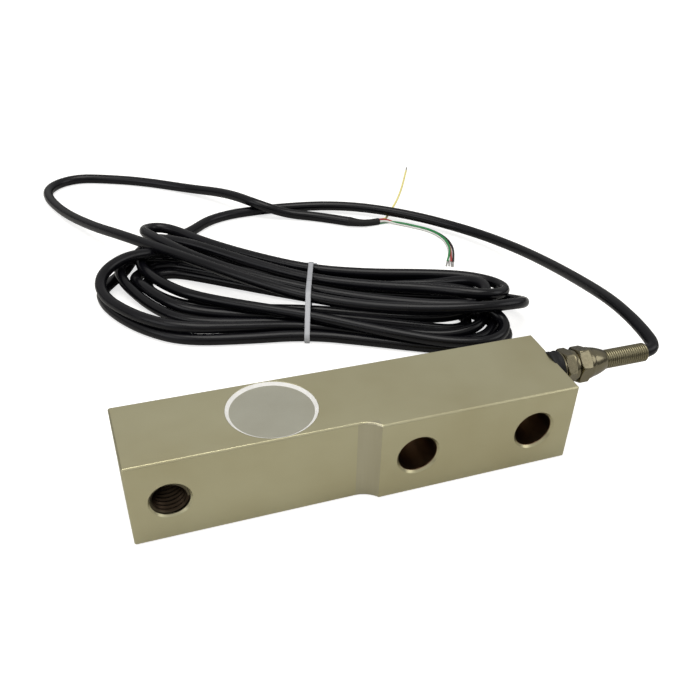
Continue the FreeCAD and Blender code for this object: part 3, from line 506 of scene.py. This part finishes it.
# The strands in the order in which the cable was wound: how far each one lies from the middle line at its
# left shoulder, under the tie and at its right shoulder, and its layers there.
STRANDS = [
    ((-32.5, -26, -34), (0.0, 0.0, 0.0)),
    ((37, 17, 7), (0.0, 0.0, 0.0)),
    ((-33.5, -21, -29), (0.8, 0.0, 0.0)),
    ((32, 12.5, 2), (0.0, 0.0, 0.0)),
    ((-20, -16.5, -24), (0.0, 0.0, 0.0)),
    ((25, 8, -3), (0.0, 0.0, 0.0)),
    ((-13, -12, -19), (0.0, 0.0, 0.0)),
    ((19, 3, -8), (0.0, 0.0, 0.0)),
    ((-8, -7, -14), (0.0, 0.0, 0.0)),
    ((41, 20, 12), (0.2, 0.2, 0.7)),
    ((-7, -21, -36), (1.0, 1.0, 1.0)),
    ((16, -4, -15), (1.4, 0.9, 1.0)),
    ((40, 17, 13), (0.9, 0.8, 1.0)),
    ((30, 6.6, -2), (0.9, 1.0, 0.9)),
    ((46, 25, 15), (0.0, 0.0, 0.0)),
    ((11, -14.5, -21.5), (2.0, 1.2, 1.0))]
# The folds between the strands: how far out each one reaches, where its middle is, half its width and its
# layer.  The first of them comes before the first strand, past two points that lead to it.
INTO_HANK = ((-62, 62, 0), (-76, 48, 0))
FIRST_FOLD = (-90, 2, 22, 0.0)
FOLDS = [
    (85.5, -22, 12, 0.0), (-91, 2, 21, 0.8), (82, -17, 11, 0.4), (-84.5, 16, 16, 0.3), (76, -12, 10, 0.0),
    (-79, 18, 15, 0.3), (72, -12, 12, 0.0), (-76, 13, 13, 0.0), (80, -8, 10, 0.7), (-80, 24, 15, 0.6),
    (86, -24, 12, 0.9), (-83, 52, 12, 1.4), (88, -2, 12, 1.5), (-77, 46, 9, 0.8), (94.5, -6, 10, 1.0)]


def in_hank(along, aside, layer):
    """A point in millimetres from its place along and beside the hank's middle line, and its layer."""
    cosine, sine = math.cos(HANK_TURN), math.sin(HANK_TURN)
    return (HANK_MIDDLE[0] + along * cosine - aside * sine, HANK_MIDDLE[1] + along * sine + aside * cosine,
            CORD_RADIUS + LAYER * layer)


def round_fold(reach, middle, half_width, layer, rising):
    """Three points round a fold at an end of the hank, towards its far side where it is rising."""
    end = 1 if reach > 0 else -1
    points = []
    for degrees in (-60, 0, 60) if rising else (60, 0, -60):
        angle = math.radians(degrees)
        points.append(in_hank(reach - end * half_width * (1 - math.cos(angle)),
                              middle + half_width * math.sin(angle), layer))
    return points


def hank_guides():
    """The points that the cable is wound past, strand by strand and fold by fold."""
    guides = [in_hank(*spot) for spot in INTO_HANK] + round_fold(*FIRST_FOLD, False)
    for number, (sides, layers) in enumerate(STRANDS):
        strand = [in_hank(*spot) for spot in zip((-SHOULDER, 0, SHOULDER), sides, layers)]
        backwards = number % 2 == 1
        guides += strand[::-1] if backwards else strand
        if number < len(FOLDS):
            shoulder = 0 if backwards else 2
            guides += round_fold(*FOLDS[number], sides[shoulder] < STRANDS[number + 1][0][shoulder])
    return guides


def smoothly_past(guides):
    """Twice as many points, on an even curve through the guides.  The first and last guides only steer it."""
    line = []
    for number in range(1, len(guides) - 2):
        near = guides[number - 1:number + 3]
        knots = [0.0]
        for before, after in zip(near, near[1:]):
            knots.append(knots[-1] + math.sqrt(np.linalg.norm(after - before)))
        for part in (0.0, 0.5):
            at = knots[1] + (knots[2] - knots[1]) * part
            level = near
            for span in (1, 2):
                level = [low + (high - low) * (at - knots[k]) / (knots[k + span] - knots[k])
                         for k, (low, high) in enumerate(zip(level, level[1:]))]
            share = (at - knots[1]) / (knots[2] - knots[1])
            line.append(level[0] + (level[1] - level[0]) * share)
    line.append(guides[-2])
    return line


# A quadratic spline's places, a few to a span, as shares of the three points that hold each span.
PER_SPAN = 6
PART = np.arange(PER_SPAN) / PER_SPAN
SHARES = [share[None, :, None] for share in (0.5 * (1 - PART) ** 2, 0.5 + PART - PART ** 2, 0.5 * PART ** 2)]
SPANS = (slice(None, -2), slice(1, -1), slice(2, None))

# How the turns settle: lengths in millimetres, and shares of a pull for each step.
SETTLING = 500
TOUCHING = 4.85
NEAR_BY = TOUCHING + 1.5
SAME_STRETCH = 14
TIGHTEST = 14.0
RESTING = CORD_RADIUS + 0.02
TABLE_PUSH = 3
HOLD_TO_PLAN = (0.02, 0.02, 0.003)
WEIGHT = (0, 0, 0.02)
HOLD_TO_BEND = 0.03
UNBENDING = 0.4
PACE = 0.06
PACE_LOST = 0.7


def spline_line(points):
    """Places along the cable's spline, a few to a span."""
    return sum(share * points[span, None] for share, span in zip(SHARES, SPANS)).reshape(-1, 3)


def settled(points, held):
    """The cable's points after its turns have pushed one another apart and rested on the table.

    The points whose numbers are held stay where they are."""
    start = np.array(points)
    points = start.copy()
    speed, scale = np.zeros_like(points), np.zeros_like(points)
    for step in range(SETTLING):
        line = spline_line(points)
        if step % 10 == 0:
            along = np.r_[0, np.cumsum(np.linalg.norm(np.diff(line, axis=0), axis=1))]
            gaps = np.linalg.norm(line[:, None] - line[None], axis=2)
            first, second = np.nonzero((gaps < NEAR_BY) & (along[None] - along[:, None] > SAME_STRETCH))
        apart = line[first] - line[second]
        distance = np.linalg.norm(apart, axis=1) + 1e-6
        push = (np.clip(TOUCHING - distance, 0, None) / distance)[:, None] * apart
        pull = np.zeros_like(line)
        np.add.at(pull, first, -push)
        np.add.at(pull, second, push)
        pull[:, 2] -= TABLE_PUSH * np.clip(RESTING - line[:, 2], 0, None)
        pull = pull.reshape(-1, PER_SPAN, 3)
        slope = (points - start) * HOLD_TO_PLAN + WEIGHT
        for share, span in zip(SHARES, SPANS):
            slope[span] += (share * pull).sum(axis=1)
        bend = points[:-2] - 2 * points[1:-1] + points[2:]
        wanted = start[:-2] - 2 * start[1:-1] + start[2:]
        wanted[:, 2] = 0
        length = np.linalg.norm(points[2:] - points[:-2], axis=1) / 2
        size = np.linalg.norm(bend, axis=1) + 1e-6
        over = np.clip(1 - length ** 2 / TIGHTEST / size, 0, None)[:, None] * bend
        stiff = HOLD_TO_BEND * (bend - wanted) + UNBENDING * over
        for share, span in zip((1, -2, 1), SPANS):
            slope[span] += share * stiff
        slope[held] = 0
        # Each point's step follows running means of its slope and of the slope's square.
        speed = 0.9 * speed + 0.1 * slope
        scale = 0.99 * scale + 0.01 * slope ** 2
        points -= PACE * (1 - PACE_LOST * step / SETTLING) * speed / (np.sqrt(scale) + 1e-3)
    return points


guides = [np.array(point) for point in [LEAD[-1]] + hank_guides() + [TAIL[0]]]
wound = LEAD + smoothly_past(guides) + TAIL
held = list(range(len(LEAD))) + list(range(len(wound) - len(TAIL), len(wound)))
cable_points = settled(wound, held)
cable = round_cord("signal_cable", cable_points.tolist(), CORD_RADIUS, sides=5, along=6)
place(cable, jacket, "black_jacket", "cable_lead", "cable_hank", "cable_tail")

# ------------------------------------------------------------------ bared end
SLEEVE = [(61.74, 180.6, 2.52), (65.01, 178.3, 2.42), (70.94, 177.2, 1.95), (77.44, 178.2, 1.78)]
SLEEVE_RADIUS = 1.75
SLEEVE_SWELLS = (1.41, 1.12, 1.0, 1.0)
sleeve = round_cord("heat_shrink_sleeve", SLEEVE, SLEEVE_RADIUS, sides=4, along=8)
for point, swell in zip(sleeve.data.splines[0].points, SLEEVE_SWELLS):
    point.radius = swell
place(sleeve, rubber, "black_rubber", "end_sleeve")

# The cores leave the sleeve's mouth together, and share a line along the table.
CORES_FROM = (77.44, 178.2, 1.75)
CORES_HEADING = (0.988, 0.152, -0.02)
CORE_RADIUS = 0.54
TIP_RADIUS = 0.36
TIP_END_HEIGHT = 0.56
CORE_LINE = [(86.2, 176.9), (93.8, 170.6), (101.0, 163.4), (104.4, 154.0), (103.6, 144.5), (100.6, 136.4)]
# For each core: its material, its place to the left and above in the sleeve's mouth, how far it lies to the
# left of the shared line, its height, and the place where its insulation ends.
CORES = {"white": (white, -0.99, 0.32, -1.06, 0.54, (96.4, 129.9)),
         "green": (green, -0.61, -0.84, -0.62, 1.44, (95.6, 129.9)),
         "red": (red, 0.0, 1.04, 0.0, 0.54, (97.2, 128.9)),
         "black": (black, 0.61, -0.84, 1.3, 0.54, (98.1, 128.6))}
# The drain wire goes its own way.
DRAIN_LINE = [(84.0, 183.6), (90.8, 193.2), (98.6, 204.4), (106.6, 218.0), (113.2, 230.5), (119.0, 241.6)]


def beside(line, shift):
    """A plan line moved sideways, to the left for a positive shift."""
    moved = []
    for number, (x, y) in enumerate(line):
        before, after = line[max(number - 1, 0)], line[min(number + 1, len(line) - 1)]
        run = math.hypot(after[0] - before[0], after[1] - before[1])
        moved.append((x - (after[1] - before[1]) / run * shift, y + (after[0] - before[0]) / run * shift))
    return moved


def core_points(left, up, line, height):
    """A core's points, from its place in the sleeve's mouth along a plan line on the table."""
    x, y, z = CORES_FROM
    start = Vector((x - 0.15 * left, y + 0.98 * left, z + up))
    points = [tuple(start), tuple(start + Vector(CORES_HEADING) * 3.4)]
    return points + [(x, y, height) for x, y in line[:-1]] + [(*line[-1], TIP_END_HEIGHT)]


def tip_points(core):
    """The points of the tinned tip that comes level out of a core's end."""
    end = Vector(core[-1])
    ahead = end - Vector(core[-2])
    ahead.z = 0
    ahead.normalize()
    bend = Vector((-ahead.y, ahead.x, 0)) * 0.15
    return [tuple(end - ahead * 0.3), tuple(end + ahead * 1.6), tuple(end + ahead * 3.4 + bend),
            tuple(end + ahead * 5.0 + bend)]


cores, core_lines = [], []


def add_core(name, shader, slot, node, points):
    """A core's piece, kept with its points for the tip."""
    core_lines.append(points)
    cores.append(place(round_cord(name, points, CORE_RADIUS, sides=3, along=8), shader, slot, node))


for colour, (shader, left, up, shift, height, last) in CORES.items():
    add_core("core_" + colour + "_lead", shader, colour + "_insulation", "core_" + colour,
             core_points(left, up, beside(CORE_LINE, shift) + [last], height))
add_core("yellow_drain_wire", yellow, "yellow_insulation", "drain_wire", core_points(0.99, 0.32, DRAIN_LINE, 0.54))
for number, points in enumerate(core_lines):
    tip = round_cord("tinned_tip_%d" % number, tip_points(points), TIP_RADIUS, sides=3, along=6)
    cores.append(place(tip, tinned, "bare_wire", "tinned_tips"))

# ------------------------------------------------------------------ tie
# The strap's section: how far along the hank, and how far out from the turns.
STRAP_SECTION = ((-1.1, -0.1), (-1.1, 0.5), (-0.85, 0.7), (0.85, 0.7), (1.1, 0.5), (1.1, -0.1))
STRAP_STEPS = 96
STRAP_LIFTED = 0.02
PRESSED_FLAT = 0.3


def crossings():
    """Where the cable's centre line passes the tie: how far beside the hank's middle line, and how high."""
    cosine, sine = math.cos(HANK_TURN), math.sin(HANK_TURN)
    line = spline_line(cable_points)[len(LEAD) * PER_SPAN:-len(TAIL) * PER_SPAN]
    offset = line[:, :2] - HANK_MIDDLE
    along = offset @ (cosine, sine)
    aside = offset @ (-sine, cosine)
    return [(aside[number], line[number, 2]) for number in np.nonzero(along[:-1] * along[1:] <= 0)[0]]


def outline_of(circles, radius, steps):
    """A line drawn tight round circles, with the way out at each step: the circle that reaches furthest counts."""
    loop = []
    for step in range(steps):
        angle = 2 * math.pi * step / steps
        way = (math.cos(angle), math.sin(angle))
        furthest = max(circles, key=lambda circle: circle[0] * way[0] + circle[1] * way[1])
        loop.append((furthest[0] + radius * way[0], furthest[1] + radius * way[1], way))
    return loop


def tie_band():
    """A strap round the hank, drawn tight over the turns that it crosses and pressed flat under them."""
    across = (-math.sin(HANK_TURN), math.cos(HANK_TURN))
    along = (math.cos(HANK_TURN), math.sin(HANK_TURN))
    loop = outline_of(crossings(), CORD_RADIUS, STRAP_STEPS)
    vertices, faces = [], []
    for aside, height, way in loop:
        for shift, lift in STRAP_SECTION:
            out = aside + way[0] * lift
            lowest = STRAP_LIFTED + PRESSED_FLAT * max(lift, 0)
            vertices.append(((HANK_MIDDLE[0] + across[0] * out + along[0] * shift) * MM,
                             (HANK_MIDDLE[1] + across[1] * out + along[1] * shift) * MM,
                             max(height + way[1] * lift, lowest) * MM))
    sides = len(STRAP_SECTION)
    for number in range(len(loop)):
        following = (number + 1) % len(loop)
        for side in range(sides):
            other = (side + 1) % sides
            faces.append((number * sides + side, number * sides + other, following * sides + other,
                          following * sides + side))
    return mesh_piece("tie_strap_band", vertices, faces)


strap = place(tie_band(), tie_plastic, "pale_tie", "tie_strap")

# ------------------------------------------------------------------ floor and light
FLOOR_REACH = 3
FLOOR_GLOW = 0.70
floor_mesh = bpy.data.meshes.new("floor")
floor_corners = [(x * FLOOR_REACH, y * FLOOR_REACH, 0) for x, y in ((-1, -1), (1, -1), (1, 1), (-1, 1))]
floor_mesh.from_pydata(floor_corners, [], [(0, 1, 2, 3)])
floor = bpy.data.objects.new("floor", floor_mesh)
bpy.context.scene.collection.objects.link(floor)
paper = Shader("white_table", srgb(196, 195, 192), 0.9)
tree = paper.tree
path = tree.nodes.new("ShaderNodeLightPath")
glow = tree.nodes.new("ShaderNodeEmission")
glow.inputs["Color"].default_value = (1.0, 1.0, 1.0, 1.0)
glow.inputs["Strength"].default_value = FLOOR_GLOW
both = tree.nodes.new("ShaderNodeAddShader")
choice = tree.nodes.new("ShaderNodeMixShader")
output = tree.nodes["Material Output"]
tree.links.new(paper.bsdf.outputs[0], both.inputs[0])
tree.links.new(glow.outputs[0], both.inputs[1])
tree.links.new(path.outputs["Is Camera Ray"], choice.inputs[0])
tree.links.new(paper.bsdf.outputs[0], choice.inputs[1])
tree.links.new(both.outputs[0], choice.inputs[2])
tree.links.new(choice.outputs[0], output.inputs["Surface"])
floor.data.materials.append(paper.material)

# The camera sees a white backdrop; the object is lit by a studio that brightens with height.
DUSK_HEIGHTS = (0.02, 0.42)
DUSK_STRENGTHS = (0.10, 0.56)
world = bpy.data.worlds.new("studio")
bpy.context.scene.world = world
world.use_nodes = True
sky = world.node_tree
background = sky.nodes["Background"]
background.inputs["Color"].default_value = (1.0, 0.99, 0.97, 1.0)
bearing = sky.nodes.new("ShaderNodeTexCoord")
parts = sky.nodes.new("ShaderNodeSeparateXYZ")
dusk = sky.nodes.new("ShaderNodeMapRange")
dusk.inputs["From Min"].default_value, dusk.inputs["From Max"].default_value = DUSK_HEIGHTS
dusk.inputs["To Min"].default_value, dusk.inputs["To Max"].default_value = DUSK_STRENGTHS
sky.links.new(bearing.outputs["Generated"], parts.inputs["Vector"])
sky.links.new(parts.outputs["Z"], dusk.inputs["Value"])
sky.links.new(dusk.outputs["Result"], background.inputs["Strength"])
backdrop = sky.nodes.new("ShaderNodeBackground")
backdrop.inputs["Color"].default_value = (1.0, 1.0, 1.0, 1.0)
backdrop.inputs["Strength"].default_value = 1.0
seen = sky.nodes.new("ShaderNodeLightPath")
pick = sky.nodes.new("ShaderNodeMixShader")
sky.links.new(seen.outputs["Is Camera Ray"], pick.inputs[0])
sky.links.new(background.outputs[0], pick.inputs[1])
sky.links.new(backdrop.outputs[0], pick.inputs[2])
sky.links.new(pick.outputs[0], sky.nodes["World Output"].inputs["Surface"])


def lamp(name, place_m, target_m, width, height, energy, colour=(1.0, 1.0, 1.0)):
    """A soft rectangular lamp aimed at a point."""
    data = bpy.data.lights.new(name, "AREA")
    data.shape = "RECTANGLE"
    data.size = width
    data.size_y = height
    data.energy = energy
    data.color = colour
    obj = bpy.data.objects.new(name, data)
    obj.location = place_m
    obj.rotation_euler = (Vector(target_m) - Vector(place_m)).to_track_quat("-Z", "Y").to_euler()
    bpy.context.scene.collection.objects.link(obj)


lamp("top_softbox", (-0.1, 0.0, 1.3), (0.0, 0.08, 0.0), 0.9, 0.9, 9.0, (1.0, 0.985, 0.95))
lamp("left_softbox", (-1.1, -0.35, 0.7), (0.0, 0.05, 0.0), 0.8, 0.8, 3.0, (0.97, 0.98, 1.0))
lamp("right_softbox", (1.1, -0.5, 0.8), (0.0, 0.05, 0.0), 0.8, 0.8, 3.0)

bpy.context.scene.view_settings.view_transform = "Standard"
